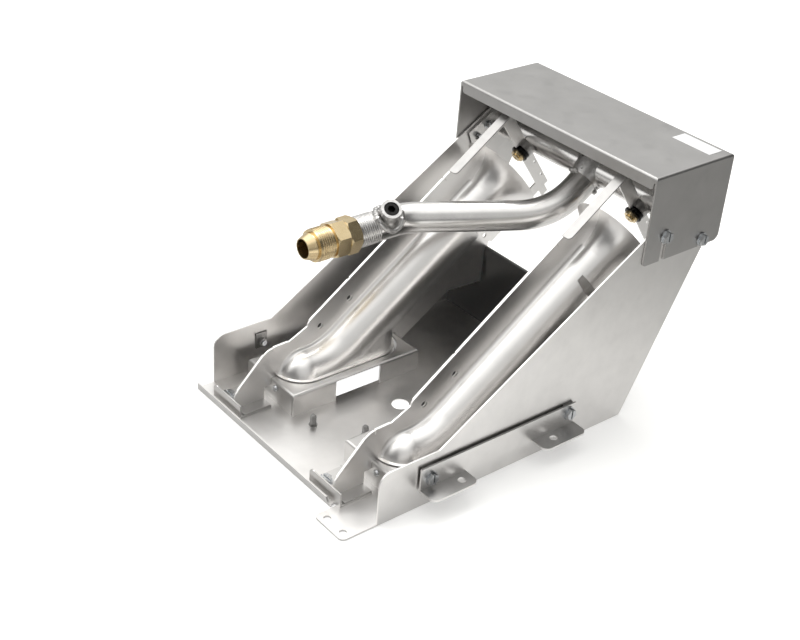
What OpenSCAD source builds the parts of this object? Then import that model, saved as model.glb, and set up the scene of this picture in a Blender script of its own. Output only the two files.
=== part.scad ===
// Gas burner assembly: two inclined venturi burners in a sheet metal tray, fed by one manifold
// pipe behind the mixer mouths, under a lift-off cover. Millimetres.
// Frame: X to the right, Y to the back, Z up. X = 0 is mid-width of the tray, Y = 0 is the front
// edge of the side panels, Z = 0 is the underside of the tray floor.

/* [Tray] */
// Width over the outside faces of the two side panels
tray_width = 187; // [180:1:200]
// Distance from the front edge of the side panels to the outside of the back panel
tray_depth = 215; // [212:1:220]
// Thickness of the tray and cover sheet
sheet = 1.2; // [0.8:0.1:1.6]
// Distance of the upturned front lip before the side panels
lip_reach = 13; // [12:0.5:16]
// Height of the upturned front lip
lip_height = 4.9; // [3:0.1:6]
// Height of the low front end of the side panels
nose_height = 38; // [32:1:40]
// Length of the low front end of the side panels
nose_length = 46.8; // [40:1:50]
// Height of the side panels under the cover
panel_height = 177.6; // [172:0.5:178]
// Height of the upright back panel
back_height = 65.5; // [60:0.5:66]
// Diameter of the round hole in the middle of the floor
floor_hole = 12.4; // [8:0.2:16]
// Diameter of the two holes in the front ear
ear_hole = 4.8; // [3.5:0.1:5.5]

/* [Cover] */
// Play between the cover ends and the side panels, each side
cover_play = 0.2; // [0.1:0.05:0.4]
// Depth of the cover from front to back
cover_depth = 75.4; // [75:0.1:78]
// Height of the cover's top face
cover_top = 183.9; // [182:0.1:190]
// How far the cover's ends hang below its top face
cover_drop = 63.5; // [60:0.5:66]
// How far the cover's front and rear rims hang below its top face
rim_drop = 8.6; // [6:0.1:9]

/* [Burners] */
// Distance from the outside of each side panel to the middle plane of its burner
burner_inset = 37; // [36:0.5:38]
// Slope of the burner axes above the floor
burner_slope = 35.6; // [35.2:0.1:36]
// Outside diameter of the burner tube
tube_diameter = 38.3; // [35:0.1:40]
// Outside diameter of the flared mixer mouth
mouth_diameter = 63; // [58:0.5:65]
// Length over which the mixer mouth flares
flare_length = 23.4; // [20:0.2:26]
// Thickness of one half of a burner
shell = 0.6; // [0.5:0.05:0.8]
// Distance from the burner axis to the hemmed upper edge
upper_edge = 40.7; // [39:0.1:41]
// Distance from the burner axis to the lower edge
lower_edge = 43.5; // [42:0.1:44]
// Width of the domed burner toe
toe_width = 42; // [40:0.5:44]
// Height of the toe above the channel
toe_rise = 14.5; // [12:0.5:16]
// Height of the rim round the toe above the channel
rim_rise = 0.9; // [0.8:0.1:1.5]
// How far the air slot opens along the tube for each millimetre across it
slot_flare = 0.4; // [0.3:0.05:0.5]
// Radius of the blend between a burner's tube and its flat sheet
blend_r = 4; // [3:0.2:5]

/* [Channels] */
// Width of the channel under each burner toe
channel_width = 55.2; // [50:0.2:58]
// Length of the channel under each burner toe
channel_length = 108.9; // [106:0.5:112]
// Height of the channel's top face above the table
channel_top = 17.8; // [16:0.1:19]

/* [Gas pipe] */
// Outside diameter of the half-inch steel pipe
pipe_diameter = 21.3; // [20:0.1:21.7]
// Distance of the manifold axis behind the mixer mouths, along the burner axis
manifold_reach = 37.9; // [37:0.1:39]
// Diameter of the orifice holders
holder_diameter = 14; // [12:0.2:15]
// Diameter of the tap boss on the supply pipe
boss_diameter = 14.4; // [13.6:0.1:16]
// Diameter of the screw plug in the tap boss
plug_diameter = 10.3; // [9.5:0.1:10.5]
// Thread diameter of the flare fitting
flare_thread = 22.2; // [20:0.1:23]
// Width across the flats of the brass hexagons
hex_flats = 23; // [22.5:0.1:24]
// Bore of the flare fitting
flare_bore = 13.2; // [11:0.1:14]

/* [Brackets] */
// Length of the two side brackets
bracket_length = 133.7; // [124:0.5:136]
// Gap between a side bracket and its side panel
bracket_gap = 1.3; // [1:0.1:2]
// Reach of the bracket feet beyond the bracket wall
foot_reach = 13.5; // [11:0.5:16]
// Diameter of the hole in each bracket foot
foot_hole = 5.6; // [4.5:0.1:6.5]

/* [Screws] */
// Shank diameter of the sheet metal screws
screw_shank = 3.9; // [3.4:0.1:4.1]
// Width across the flats of the screw heads
screw_flats = 7; // [6:0.1:7.9]

/* [Hidden] */
e = 0.02;
half = tray_width / 2;
inner = half - sheet;
back_y = tray_depth;
slope = burner_slope;
sa = sin(slope);
ca = cos(slope);
tube_r = tube_diameter / 2;
mouth_r = mouth_diameter / 2;
// The burner axis is held at the toe, and the mixer mouth lies up the slope from there
toe_y = 84.1;
toe_z = 25.1;
axis_length = 168.8;
mouth_y = toe_y + axis_length * ca;
mouth_z = toe_z + axis_length * sa;
shift = 1;
left_x = burner_inset - half + shift;
right_x = half - burner_inset + shift;
// Mouth flare: one arc, tangent to the tube
flare_rise = mouth_r - tube_r;
flare_r = (flare_length * flare_length + flare_rise * flare_rise) / (2 * flare_rise);
air_s = -39.7;
// Frame of the burner's sheet round the mixer mouth, and the points that clinch the sheets together
frame_end = 30;
arm_width = 9.9;
clinch_points = [[62.3, 46.4], [86.7, 61]];
clinch_bore = 4.6;
// Channel
channel_y = 22;
channel_end = channel_y + channel_length;
bend = 1.8;
port_r = 23.8;
window_start = channel_y + 36;
window_length = 38.3;
channel_screw_x = 6;
channel_screw_z = 12.3;
channel_screw_d = 2.5;
foot_z = 3.3;
// Toe: the tube bends level at the knee and ends in a ball, with a skirt down to its rim
toe_r = toe_width / 2;
toe_front = channel_y + 4.6 + toe_r;
toe_rear = channel_end - 6.1 - toe_r;
ball_z = channel_top + toe_rise - tube_r;
knee_y = toe_y - (toe_z - ball_z) / tan(slope);
toe_bend = (knee_y - toe_front) / tan(slope / 2);
toe_s = (knee_y - mouth_y) / ca + knee_y - toe_front;
rim_foot = channel_top - 3;
// Manifold axis
man_y = mouth_y + manifold_reach * ca;
man_z = mouth_z + manifold_reach * sa;
pipe_r = pipe_diameter / 2;
plate_t = 1.5;
// Supply pipe: leg down the slope, level run, level inlet
leg_x = 5.6;
apex = [leg_x, 214.5, 118.4];
turn = [left_x + 10.2, 123.3, 118.4];
hex_b = [78.9, 69.5];
hex_a = [hex_b[1], 58.8];
thread_end = 45.2;
nose_end = 38.1;
spigot = 3;
pipe_end = hex_a[0] + spigot + 0.4;
man_pt = [leg_x, apex[1] + 37.5 * ca / 0.813, apex[2] + 37.5 * sa / 0.813];
apex_bend = 58;
turn_bend = 36;
leg_dir = unit(apex - man_pt);
run_dir = unit(turn - apex);
in_dir = [0, -1, 0];
apex_cut = apex_bend * tan(acos(leg_dir * run_dir) / 2);
turn_cut = turn_bend * tan(acos(run_dir * in_dir) / 2);
boss_base = [turn[0], 107.1, turn[2]];
boss_dir = [0.52, -0.24, 0.82];
boss_length = 20.6;
// Cover
cover_half = half + cover_play + sheet;
cover_front = 210;
cover_rear = cover_front + cover_depth;
cover_foot = cover_top - cover_drop;
screw_a = [228.1, 138.4];
screw_b = [266.9, 125.7];
slot_w = screw_shank + 0.6;
rim_gap = 1.3;
label_size = [32.7, 12.8];
label_edge = 7.7;
// Side panels
panel_rear = cover_rear - sheet - 0.5;
rear_lean = 0.478;
lean_top = (panel_rear - back_y) / rear_lean;
panel_tilt = 0.622;
// Brackets
wall_t = 1.4;
bracket_y = 30.9;
bracket_x = half + bracket_gap;
bracket_z = 14;
bracket_rise = 17.3;
foot_x = bracket_x + wall_t + foot_reach;
foot_a = [bracket_y, bracket_y + 37.4];
foot_b = [bracket_y + bracket_length - 38.3, bracket_y + bracket_length];
bscrew_a = [bracket_y + 7.5, 22.9];
bscrew_b = [bracket_y + bracket_length - 6.5, 25.2];
clip_x = [-22.4, 10.3];
clip_screw_at = [-14, -2.8];

// Helpers
// A flat plate lying in a plane of constant X, its outline given as Y and Z
module plate_x(x, t) {
  translate([x, 0, 0]) rotate([90, 0, 90]) linear_extrude(t) children();
}
// A flat plate lying in a plane of constant Z
module plate_z(z, t) {
  translate([0, 0, z]) linear_extrude(t) children();
}
// The burner's own frame: Y along the axis to the back, Z across it, origin in the mouth plane
module burner_frame(x0) {
  translate([x0, mouth_y, mouth_z]) rotate([slope, 0, 0]) children();
}
// Y and Z of a point given along and across the burner axis
function at(s, v) = [mouth_y + s * ca - v * sa, mouth_z + s * sa + v * ca];
module along(s0, s1, r) {
  translate([0, s1, 0]) rotate([90, 0, 0]) cylinder(h = s1 - s0, r = r, $fn = 96);
}
module ring_along(s0, s1, r, bore) {
  difference() {
    along(s0, s1, r);
    along(s0 - 1, s1 + 1, bore);
  }
}
module stadium(y0, y1, r) {
  translate([0, y0]) circle(r, $fn = 96);
  translate([0, y1]) circle(r, $fn = 96);
  translate([-r, y0]) square([2 * r, y1 - y0]);
}
// A rectangle with all four corners rounded
module soft_rect(x0, y0, x1, y1, r) {
  translate([x0 + r, y0]) square([x1 - x0 - 2 * r, y1 - y0]);
  translate([x0, y0 + r]) square([x1 - x0, y1 - y0 - 2 * r]);
  for (x = [x0 + r, x1 - r])
    for (y = [y0 + r, y1 - r])
      translate([x, y]) circle(r, $fn = 48);
}
// Outline of a folded sheet box, square at the bottom and rounded at its two top corners
module folded_outline(a, b, low, high, r) {
  translate([a, low]) square([b - a, high - low - r]);
  translate([a + r, low]) square([b - a - 2 * r, high - low]);
  for (t = [a + r, b - r])
    translate([t, high - r]) circle(r, $fn = 48);
}
// Solid with all its top edges bent over with radius r
module folded_box(x0, x1, y0, y1, z0, z1, r) {
  intersection() {
    translate([0, y1, 0]) rotate([90, 0, 0]) linear_extrude(y1 - y0)
      folded_outline(x0, x1, z0, z1, r);
    plate_x(x0, x1 - x0) folded_outline(y0, y1, z0, z1, r);
  }
}
// Hexagon washer head screw, its head outward on +X, the face under the head at x = 0
module hex_screw(flats, shank, reach) {
  rotate([0, 90, 0]) {
    translate([0, 0, -reach]) cylinder(h = reach + 0.5, d = shank, $fn = 32);
    cylinder(h = 0.9, d = flats * 1.38, $fn = 48);
    difference() {
      translate([0, 0, 0.4]) rotate([0, 0, 12]) cylinder(h = 3.4, d = flats / cos(30), $fn = 6);
      translate([-flats, -0.6, 2.6]) cube([2 * flats, 1.2, 3]);
    }
  }
}
// A plate outline of one side panel, Y and Z
module panel_outline() {
  r = 8.4;
  far = 2 * panel_height;
  difference() {
    translate([0, sheet]) square([panel_rear, panel_height - sheet]);
    // Above the sloping edge, and behind the leaning rear edge
    polygon([[nose_length, nose_height], [-1, nose_height], [-1, far],
             [nose_length + (far - nose_height) / panel_tilt, far]]);
    polygon([[back_y, 0], [back_y + rear_lean * far, far], [panel_rear + far, far],
             [panel_rear + far, 0]]);
    translate([-1, nose_height - r]) square([r + 1, r + 1]);
  }
  translate([r, nose_height - r]) circle(r, $fn = 64);
}
module side_panel(side) {
  x = side > 0 ? inner : -half;
  difference() {
    plate_x(x, sheet) panel_outline();
    for (p = [screw_a, screw_b, bscrew_a, bscrew_b])
      translate([side * half, p[0], p[1]]) rotate([0, 90, 0])
        cylinder(h = 8, d = screw_shank + 0.1, center = true, $fn = 32);
    for (p = [bscrew_a, bscrew_b])
      translate([side * half - 4, p[0] - 4.7, p[1] + 4.8]) cube([8, 9.4, 2.2]);
  }
}
module left_side_panel() {
  color([0.66, 0.67, 0.66]) side_panel(-1);
}
module right_side_panel() {
  color([0.66, 0.67, 0.66]) side_panel(1);
}
module base_pan() {
  color([0.63, 0.64, 0.63]) difference() {
    union() {
      plate_z(0, sheet) difference() {
        union() {
          translate([-half, 0]) square([tray_width, back_y]);
          translate([-half, -lip_reach]) square([half + 61.7, lip_reach + 1]);
          translate([64.5, -9.4]) square([half - 64.5, 11.2]);
          soft_rect(64.5, -27.1, half, 1.9, 3.8);
        }
        translate([0.47, 92.9]) circle(d = floor_hole, $fn = 64);
        for (x = [left_x, right_x]) {
          translate([x, 0]) stadium(channel_y + 9.8 + port_r, channel_end - 7.5 - port_r, port_r);
          translate([x - 14, -2.8]) circle(d = screw_shank + 0.1, $fn = 32);
        }
        translate([71.2, -21.6]) circle(d = ear_hole, $fn = 32);
        translate([87.4, -21.6]) circle(d = ear_hole, $fn = 32);
      }
      // Upturned front lip, its right end run out in a curve
      translate([0, -lip_reach, 0]) rotate([90, 0, 0]) mirror([0, 0, 1])
        linear_extrude(sheet) difference() {
          translate([-half, 0]) square([half + 62.6, lip_height]);
          translate([62.6, lip_height + 1]) circle(lip_height, $fn = 48);
        }
    }
  }
}
module back_panel() {
  color([0.4, 0.4, 0.4]) union() {
    translate([-inner, back_y - sheet, sheet])
      cube([2 * inner, sheet, back_height - sheet]);
    // Doubled band along the top
    translate([-inner, back_y - 2 * sheet, back_height - 7.5])
      cube([2 * inner, sheet + e, 7.5]);
  }
}
// Cuts in one end of the cover: slots open at the bottom, so that it lifts off, and round corners
module cover_end_cuts(side) {
  for (p = [screw_a, screw_b])
    translate([side * cover_half, p[0], 0]) {
      translate([-4, -slot_w / 2, cover_foot - 2]) cube([8, slot_w, p[1] - cover_foot + 2]);
      translate([0, 0, p[1]]) rotate([0, 90, 0])
        cylinder(h = 8, d = slot_w, center = true, $fn = 32);
    }
  plate_x(side * cover_half - 3, 6) {
    difference() {
      translate([cover_front - 1, cover_foot - 1]) square([4, 4]);
      translate([cover_front + 3, cover_foot + 3]) circle(3, $fn = 48);
    }
    difference() {
      translate([cover_rear - 5, cover_foot - 1]) square([6, 6]);
      translate([cover_rear - 5, cover_foot + 5]) circle(5, $fn = 48);
    }
  }
}
// Gap between the end of a rim and the cover's end, with the rim's corner rounded
module rim_end(side, y) {
  x = cover_half - sheet - rim_gap;
  z = cover_top - rim_drop;
  r = 2.5;
  on_side(side) translate([0, y + sheet + 1, 0]) rotate([90, 0, 0]) linear_extrude(sheet + 2) {
    translate([x, z - 1]) square([rim_gap, rim_drop - bend - 1]);
    difference() {
      translate([x - r, z - 1]) square([r + e, r + 1]);
      translate([x - r, z + r]) circle(r, $fn = 48);
    }
  }
}
module cover() {
  w = cover_half;
  inside = w - sheet;
  color([0.7, 0.71, 0.7]) difference() {
    folded_box(-w, w, cover_front, cover_rear, cover_foot, cover_top, bend);
    translate([-inside, cover_front + sheet, cover_foot - 1])
      cube([2 * inside, cover_depth - 2 * sheet, cover_drop + 1 - sheet]);
    // Front and back are open below the rims
    translate([-inside, cover_front - 1, cover_foot - 1])
      cube([2 * inside, cover_depth + 2, cover_drop - rim_drop + 1]);
    for (side = [-1, 1]) {
      cover_end_cuts(side);
      rim_end(side, cover_front);
      rim_end(side, cover_rear - sheet);
    }
  }
}
// Folded box on the tray floor that a burner's toe stands in
module channel(x0) {
  w = channel_width / 2;
  translate([x0, 0, 0]) difference() {
    folded_box(-w, w, channel_y, channel_end, sheet, channel_top, bend);
    folded_box(-w + sheet, w - sheet, channel_y + sheet, channel_end - sheet, 0,
               channel_top - sheet, bend - sheet);
    // Obround hole that the burner toe drops into
    translate([0, 0, channel_top - 2 * sheet]) linear_extrude(3 * sheet)
      stadium(toe_front, toe_rear + 1.2, toe_r + 0.7);
    // Window where the right wall is left out, and relief at the front right corner
    translate([w - 2 * sheet, window_start, 0])
      cube([3 * sheet, window_length, channel_top - sheet - e]);
    translate([w - sheet - 0.8, channel_y - 1, 0]) cube([0.8, 1.4 + sheet, channel_top - 3]);
    translate([channel_screw_x, channel_y, channel_screw_z]) rotate([90, 0, 0])
      cylinder(h = 6, d = channel_screw_d, center = true, $fn = 24);
  }
}
module left_channel() {
  color([0.64, 0.65, 0.64]) channel(left_x);
}
module right_channel() {
  color([0.64, 0.65, 0.64]) channel(right_x);
}
module channel_screw(x0) {
  translate([x0 + channel_screw_x, channel_y, channel_screw_z]) rotate([0, 0, -90]) rotate([0, 90, 0]) {
    translate([0, 0, -2.6]) cylinder(h = 2.7, d = channel_screw_d, $fn = 24);
    cylinder(h = 1.3, d1 = channel_screw_d + 2.3, d2 = channel_screw_d + 1.1, $fn = 32);
  }
}
module left_channel_screw() {
  color([0.8, 0.81, 0.82]) channel_screw(left_x);
}
module right_channel_screw() {
  color([0.8, 0.81, 0.82]) channel_screw(right_x);
}

// Flat sheet of a burner half, Y and Z, without the parts behind the mixer mouth
module flange_outline() {
  polygon(concat(
    [[-7.5, 12.2], [-7.1, 9.4], [-6.2, 6.7], [-4.9, 4.9], [-3, 3.6], [-0.9, foot_z],
     [16.4, foot_z], [16.4, 12.2], [channel_y - 0.3, 12.2], [channel_y - 0.3, channel_top + 0.1],
     [channel_end + 0.3, channel_top + 0.1], [channel_end + 0.3, 10.3],
     [channel_end + 6.5, 10.3],
     [177.7, 37.1], [180.5, 38], [211.8, 36.5], [back_y - 2.6, back_height - 2.5],
     [back_y - 1.5, back_height + 0.2], [216, back_height + 0.4]],
    [at(-33, -lower_edge), at(0, -lower_edge), at(0, upper_edge), at(-177.6, upper_edge),
     at(-179.7, upper_edge - 0.6), at(-181.3, upper_edge - 1.9)],
    [[36, 41.9], [23.4, 41.4], [21, 41.1], [19, 40.2], [17.1, 39.1],
     [15.9, 38.1], [-4.7, 16.8], [-6.5, 14.6]]));
}
// One half of the burner's flat sheet, at x = x1 to x1 + t in the burner's own frame
module flange_sheet(x0, x1, t) {
  plate_x(x0 + x1, t) flange_outline();
  burner_frame(x0) plate_x(x1, t) {
    // Frame round the mixer mouth: lower band, bent tail and the arm behind the mouth
    trim = 0.05;
    low = -lower_edge + trim;
    high = upper_edge - trim;
    translate([-4, low]) square([frame_end + 4, 8.5]);
    translate([frame_end - 10.4, low - 7]) square([6.6, 8]);
    translate([frame_end - arm_width, low]) square([arm_width, high - low]);
    translate([-4, high - 7.5]) square([frame_end + 4, 7.5]);
  }
}
// Mixer flare: one arc tangent to the tube, turned about the burner axis
module flare_profile(grow) {
  difference() {
    translate([0, -flare_length]) square([mouth_r + 1, flare_length + (grow > 0 ? 1 : 0)]);
    translate([tube_r + flare_r, -flare_length]) circle(flare_r + grow, $fn = 128);
  }
}
// Obround toe: ball, knee and a skirt that drops from the tube's sides to the rim
module toe_solid(grow) {
  r = tube_r - grow;
  z0 = rim_foot - (grow > 0 ? 1 : 0);
  translate([0, toe_front, ball_z]) rotate([90, 0, 0]) sphere(r + 0.1, $fn = 96);
  elbow([0, knee_y, ball_z], [0, 1, 0], [0, ca, sa], toe_bend, r + 0.05);
  intersection() {
    translate([0, 0, z0]) linear_extrude(tube_r * 3) stadium(toe_front, toe_rear, r - 0.3);
    plate_x(-toe_r, 2 * toe_r)
      polygon([[knee_y, z0], [toe_rear + toe_r, z0],
               [toe_rear + toe_r, toe_z + (toe_rear + toe_r - toe_y) * tan(slope)],
               [toe_y, toe_z], [knee_y, z0 + 0.5]]);
  }
  translate([0, 0, z0]) linear_extrude(channel_top + rim_rise - grow - z0)
    stadium(toe_front, toe_rear, toe_r - grow);
}
// Closed body of a whole burner, or the space inside it where grow is the wall
module burner_body(grow) {
  intersection() {
    union() {
      burner_frame(0) {
        along(toe_s - 0.3, -flare_length + e, tube_r - grow);
        rotate([-90, 0, 0]) rotate_extrude($fn = 128) flare_profile(grow);
      }
      toe_solid(grow);
    }
    translate([-60, -50, rim_foot - (grow > 0 ? 1 : 0)]) cube([120, 400, 300]);
  }
}
// Air slot of the near half: a wedge that opens down the tube from a square cut across it
module air_slot() {
  burner_frame(0) translate([0, 0, -tube_r - 1]) linear_extrude(2 * tube_r - 4)
    polygon([[0, air_s], [tube_r + 2, air_s], [tube_r + 2, air_s - (tube_r + 2) * slot_flare]]);
}
// Clinched points that hold the two halves together: a cup pressed into the far half from x0 to x1
module clinch(d, x0, x1) {
  for (p = clinch_points)
    translate([x0, p[0], p[1]]) rotate([0, 90, 0]) cylinder(h = x1 - x0, d = d, $fn = 48);
}
module flange_holes() {
  burner_frame(0) {
    for (p = [[-36.2, -32.8], [-36, -lower_edge + 0.6], [27.8, -17.5], [27.8, -32.4]])
      translate([0, p[0], p[1]]) rotate([0, 90, 0])
        cylinder(h = 8, d = p[0] < 0 ? 3.6 : 2.4, center = true, $fn = 32);
    along(14, 60, holder_diameter / 2 + 0.1);
    translate([-40, manifold_reach, 0]) rotate([0, 90, 0])
      cylinder(h = 80, r = pipe_r + 0.4, $fn = 64);
  }
}
// Concave blend along the upper side of the tube and round the toe, on the near side
module blend_profile() {
  x = shell + blend_r - 0.15;
  v = sqrt(pow(tube_r + blend_r - 0.15, 2) - x * x);
  k = (tube_r - 1) / norm([v, x]);
  difference() {
    polygon([[tube_r - 2, 0.05], [v, 0.05], [v, x], [v * k, x * k]]);
    translate([v, x]) circle(blend_r, $fn = 64);
  }
}
module blend() {
  burner_frame(0) translate([0, toe_s - 0.3, 0])
    multmatrix([[0, 1, 0, 0], [0, 0, 1, 0], [1, 0, 0, 0], [0, 0, 0, 1]])
      linear_extrude(-flare_length - toe_s) blend_profile();
  placed([0, toe_front, ball_z + toe_bend], [1, 0, 0], [0, 0, -1])
    rotate_extrude(angle = slope, $fn = 128)
      translate([toe_bend + 0.05, 0]) mirror([1, 0]) blend_profile();
  intersection() {
    placed([0, toe_front, ball_z], [1, 0, 0], [0, 1, 0])
      rotate_extrude($fn = 128) translate([0.1, 0]) blend_profile();
    translate([0, 0, rim_foot]) cube([20, toe_front + 1, 40]);
  }
}
module burner_near(x0) {
  translate([x0, 0, 0]) difference() {
    union() {
      intersection() {
        burner_body(0);
        translate([0, -50, 0]) cube([60, 400, 300]);
      }
      flange_sheet(0, 0, shell);
      blend();
    }
    burner_body(shell);
    flange_holes();
    clinch(clinch_bore, -1, 2);
    air_slot();
  }
}
// Hem along one straight run of the upper edge, from p to q given as Y and Z
module hem(p, q) {
  l = norm(q - p);
  n = [-(q[1] - p[1]), q[0] - p[0]] / l;
  top = [q + 0.9 * n, p + 0.9 * n];
  plate_x(-shell, shell) polygon(concat([p - 0.3 * n, q - 0.3 * n], top));
  plate_x(-shell / 2, 1.5 * shell + 0.3) polygon(concat([p + 0.05 * n, q + 0.05 * n], top));
  plate_x(shell + e, shell) polygon(concat([p - 3 * n, q - 3 * n], top));
}
module burner_far(x0) {
  translate([x0, 0, 0]) {
    difference() {
      union() {
        intersection() {
          burner_body(0);
          translate([-60, -50, 0]) cube([60, 400, 300]);
        }
        flange_sheet(0, -shell, shell);
        clinch(clinch_bore + 2 * shell, -2.2 * shell, -shell / 2);
        mirror([1, 0, 0]) blend();
      }
      burner_body(shell);
      flange_holes();
      clinch(clinch_bore, -1.3 * shell, 2);
    }
    hem([-4.7, 16.8], [15.9, 38.1]);
    hem([23.4, 41.4], [35.5, 41.88]);
    hem(at(-177.6, upper_edge), at(-138.4, upper_edge));
    hem(at(-136.8, upper_edge), at(-40.8, upper_edge));
    hem(at(-39.2, upper_edge), at(-33.4, upper_edge));
  }
}
module left_burner_near_half() {
  color([0.76, 0.77, 0.76]) burner_near(left_x);
}
module left_burner_far_half() {
  color([0.72, 0.73, 0.72]) burner_far(left_x);
}
module right_burner_near_half() {
  color([0.76, 0.77, 0.76]) burner_near(right_x);
}
module right_burner_far_half() {
  color([0.72, 0.73, 0.72]) burner_far(right_x);
}
// Bent strip along the top of the sheet beside the mixer mouth
module hanger(x0) {
  burner_frame(x0) {
    translate([0, 0, upper_edge]) linear_extrude(1) {
      translate([-shell, -30]) square([shell + 7, 61]);
      translate([-shell, -33]) square([shell + 4, 4]);
      translate([4, -30]) circle(3, $fn = 48);
    }
  }
}
module left_hanger() {
  color([0.86, 0.87, 0.87]) hanger(left_x);
}
module right_hanger() {
  color([0.86, 0.87, 0.87]) hanger(right_x);
}
// Folded clip under the burner's foot, with a low front wall
module clip(x0) {
  translate([x0, 0, 0]) difference() {
    union() {
      translate([clip_x[0], -9.4, sheet]) cube([clip_x[1] - clip_x[0], 25.2, 1]);
      translate([clip_x[0] + 1, -5.6, foot_z - 1]) cube([clip_x[1] - clip_x[0] - 1.5, 21.5, 1]);
      translate([clip_x[0], 15.9 - 1, sheet]) cube([clip_x[1] - clip_x[0], 1, foot_z - sheet]);
      translate([0, -9.4 + 1, 0]) rotate([90, 0, 0]) linear_extrude(1) {
        translate([clip_x[0] + 3, sheet]) square([clip_x[1] - clip_x[0] - 3, 11.5 - sheet]);
        translate([clip_x[0], sheet]) square([4, 8.7 - sheet]);
        translate([clip_x[0] + 3, 8.7]) circle(3, $fn = 32);
      }
    }
    translate(clip_screw_at) cylinder(h = 9, d = screw_shank + 0.1, $fn = 32);
  }
}
module left_clip() {
  color([0.6, 0.61, 0.6]) clip(left_x);
}
module right_clip() {
  color([0.6, 0.61, 0.6]) clip(right_x);
}
module clip_screw(x0) {
  translate([x0, 0, foot_z]) translate(clip_screw_at) rotate([0, -90, 0])
    hex_screw(screw_flats, screw_shank, 3.1);
}
module left_clip_screw() {
  color([0.62, 0.64, 0.68]) clip_screw(left_x);
}
module right_clip_screw() {
  color([0.62, 0.64, 0.68]) clip_screw(right_x);
}

// Side brackets
module on_side(side) {
  if (side > 0) children();
  else mirror([1, 0, 0]) children();
}
module bracket(side) {
  on_side(side) difference() {
    union() {
      translate([bracket_x, bracket_y, bracket_z])
        cube([wall_t, bracket_length, bracket_rise]);
      for (f = [foot_a, foot_b])
        plate_z(bracket_z, wall_t) {
          translate([bracket_x, f[0]]) square([foot_x - bracket_x - 6, f[1] - f[0]]);
          soft_rect(bracket_x + 1, f[0], foot_x, f[1], 5);
        }
    }
    for (p = [bscrew_a, bscrew_b])
      translate([bracket_x, p[0], p[1]]) rotate([0, 90, 0])
        cylinder(h = 8, d = screw_shank + 0.1, center = true, $fn = 32);
    for (y = [bracket_y + 29, bracket_y + bracket_length - 24.3])
      translate([foot_x - 7.4, y, bracket_z - 1]) cylinder(h = 4, d = foot_hole, $fn = 48);
  }
}
module left_bracket() {
  color([0.58, 0.59, 0.58]) bracket(-1);
}
module right_bracket() {
  color([0.58, 0.59, 0.58]) bracket(1);
}
module bracket_screw(side, p) {
  on_side(side) translate([bracket_x + wall_t, p[0], p[1]])
    hex_screw(screw_flats, screw_shank, bracket_gap + wall_t + sheet + 5);
}
module left_bracket_screw_front() {
  color([0.62, 0.64, 0.68]) bracket_screw(-1, bscrew_a);
}
module left_bracket_screw_rear() {
  color([0.62, 0.64, 0.68]) bracket_screw(-1, bscrew_b);
}
module right_bracket_screw_front() {
  color([0.62, 0.64, 0.68]) bracket_screw(1, bscrew_a);
}
module right_bracket_screw_rear() {
  color([0.62, 0.64, 0.68]) bracket_screw(1, bscrew_b);
}
// Clip nut gripping the side panel through a slot over the screw
module clip_nut(side, p) {
  on_side(side) translate([0, p[0], p[1]]) difference() {
    union() {
      translate([half + 0.03, -4.5, -5]) cube([bracket_gap - 0.06, 9, 11.8]);
      translate([inner - 1.1, -4.5, -5]) cube([1.07, 9, 11.8]);
      translate([inner - 1.1, -4.5, 5]) cube([sheet + bracket_gap, 9, 1.8]);
      translate([inner - 3.6, 0, 0]) rotate([0, 90, 0]) cylinder(h = 3, d = 6, $fn = 32);
    }
    translate([inner - 6, 0, 0]) rotate([0, 90, 0])
      cylinder(h = 14, d = screw_shank + 0.02, $fn = 32);
  }
}
module left_clip_nut_front() {
  color([0.3, 0.3, 0.3]) clip_nut(-1, bscrew_a);
}
module left_clip_nut_rear() {
  color([0.3, 0.3, 0.3]) clip_nut(-1, bscrew_b);
}
module right_clip_nut_front() {
  color([0.3, 0.3, 0.3]) clip_nut(1, bscrew_a);
}
module right_clip_nut_rear() {
  color([0.3, 0.3, 0.3]) clip_nut(1, bscrew_b);
}

// Gas pipe
function unit(v) = v / norm(v);
// Places its children with their Z axis along d and their X axis along r, at p
module placed(p, d, r) {
  k = unit(d);
  i = unit(r - (r * k) * k);
  j = cross(k, i);
  multmatrix([[i[0], j[0], k[0], p[0]], [i[1], j[1], k[1], p[1]],
              [i[2], j[2], k[2], p[2]], [0, 0, 0, 1]]) children();
}
module rod(p, q, r) {
  placed(p, q - p, [0.3, 0.2, 1]) cylinder(h = norm(q - p), r = r, $fn = 96);
}
// Elbow at v between the travel directions a and b
module elbow(v, a, b, bend, r) {
  ang = acos(a * b);
  reach = bend * tan(ang / 2);
  n = unit(b - (a * b) * a);
  placed(v - reach * a + bend * n, cross(-n, a), -n) rotate_extrude(angle = ang, $fn = 128)
    translate([bend, 0]) circle(r, $fn = 64);
}
module pipe_run(r, over) {
  lap = 0.3;
  swell = 0.06;
  rod(man_pt, apex - (apex_cut - lap) * leg_dir, r);
  elbow(apex, leg_dir, run_dir, apex_bend, r + swell);
  rod(apex + (apex_cut - lap) * run_dir, turn - (turn_cut - lap) * run_dir, r);
  elbow(turn, run_dir, in_dir, turn_bend, r + swell);
  rod(turn + (turn_cut - lap) * in_dir, [turn[0], pipe_end - over, turn[2]], r);
}
module manifold_bar(r, l) {
  translate([-l, man_y, man_z]) rotate([0, 90, 0]) cylinder(h = 2 * l, r = r, $fn = 96);
}
module manifold_pipe() {
  color([0.6, 0.61, 0.61]) difference() {
    manifold_bar(pipe_r, inner - plate_t);
    manifold_bar(pipe_r - 2.77, inner);
    for (x = [left_x, right_x])
      burner_frame(x) along(manifold_reach - pipe_r - 2, manifold_reach, 2.5);
    rod(man_pt, apex, pipe_r - 3.5);
  }
}
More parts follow.
